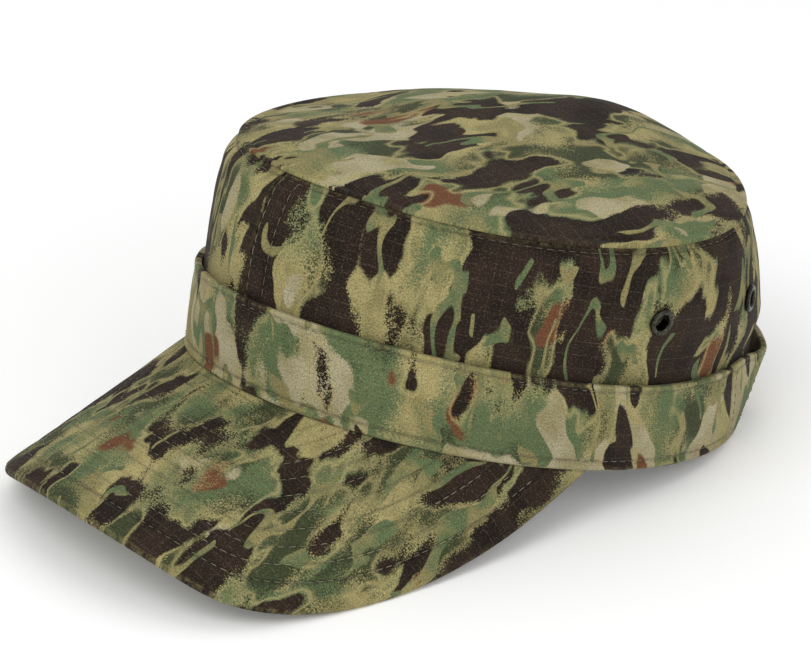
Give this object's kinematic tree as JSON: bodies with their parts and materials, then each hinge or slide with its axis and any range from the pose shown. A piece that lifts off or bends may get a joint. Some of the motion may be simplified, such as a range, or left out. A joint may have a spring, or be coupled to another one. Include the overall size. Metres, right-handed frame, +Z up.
{
  "type": "patrol cap",
  "caption": "Soft cloth patrol cap with a flat round crown, a sewn band, a curved stiff brim, small metal eyelets and a rear opening closed by a strap.",
  "frame": {"origin": "on the table under the middle of the cap's outline seen from above", "axes": "+Z up, the brim points along -Y, +X is the wearer's left; the cap is pitched back as it rests on its brim and the rear of its band"},
  "size_m": [0.1762, 0.2768, 0.1149],
  "materials": {
    "crown_cloth": "matte ripstop cotton with a printed camouflage, mostly dark brown with khaki and green",
    "top_cloth": "matte ripstop cotton with a printed camouflage, khaki, green, pale grey and brown",
    "band_cloth": "matte ripstop cotton with a printed camouflage, mostly green and pale grey",
    "strap_cloth": "matte ripstop cotton with a printed camouflage, green and khaki",
    "brim_cloth": "matte ripstop cotton with a printed camouflage over a stiff board, quilted with rows of stitches",
    "eyelet_metal": "dark gunmetal, satin, worn bright at the rim"
  },
  "bodies": {
    "root": {"side_panel_left": "crown_cloth", "side_panel_right": "crown_cloth", "top_panel": "top_cloth", "band": "band_cloth", "rear_strap": "strap_cloth", "brim": "brim_cloth", "eyelet_left_front": "eyelet_metal", "eyelet_left_rear": "eyelet_metal", "eyelet_right_front": "eyelet_metal", "eyelet_right_rear": "eyelet_metal"}
  },
  "joints": []
}
